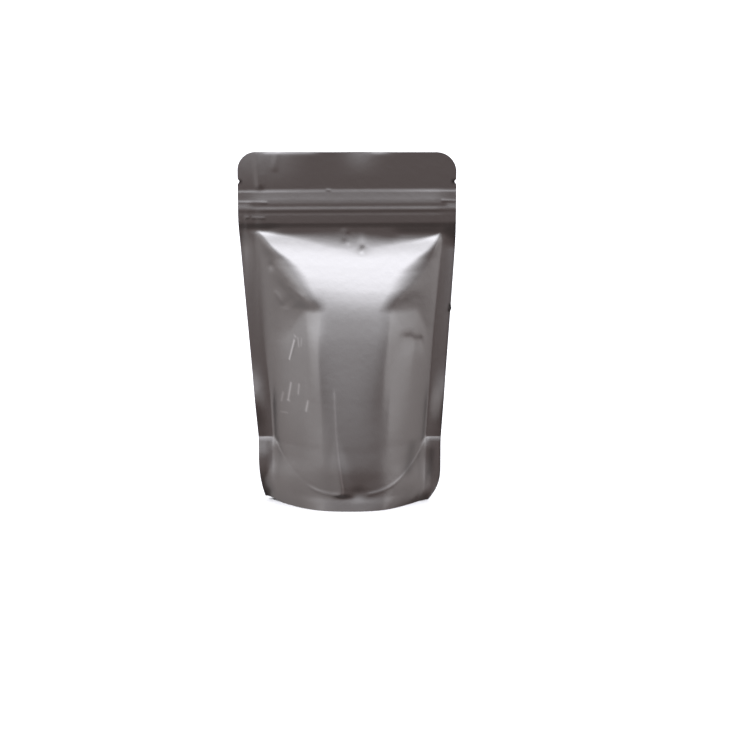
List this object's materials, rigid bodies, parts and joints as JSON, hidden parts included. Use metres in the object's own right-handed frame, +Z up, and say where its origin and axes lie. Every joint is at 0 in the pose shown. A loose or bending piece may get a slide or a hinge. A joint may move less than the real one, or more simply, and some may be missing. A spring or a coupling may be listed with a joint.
{
  "type": "foil stand-up pouch",
  "caption": "Filled foil stand-up pouch, shut, with rounded top corners, tear notches, a zip strip, wide side seals and a U-shaped bottom gusset.",
  "frame": {"origin": "centre of the bounding box on the resting plane", "axes": "+Z up along the height, the front panel faces -Y, +X runs across the front to its right"},
  "size_m": [0.1204, 0.0519, 0.198],
  "materials": {
    "foil_laminate": "satin"
  },
  "bodies": {
    "root": {"pouch": "foil_laminate"}
  },
  "joints": []
}
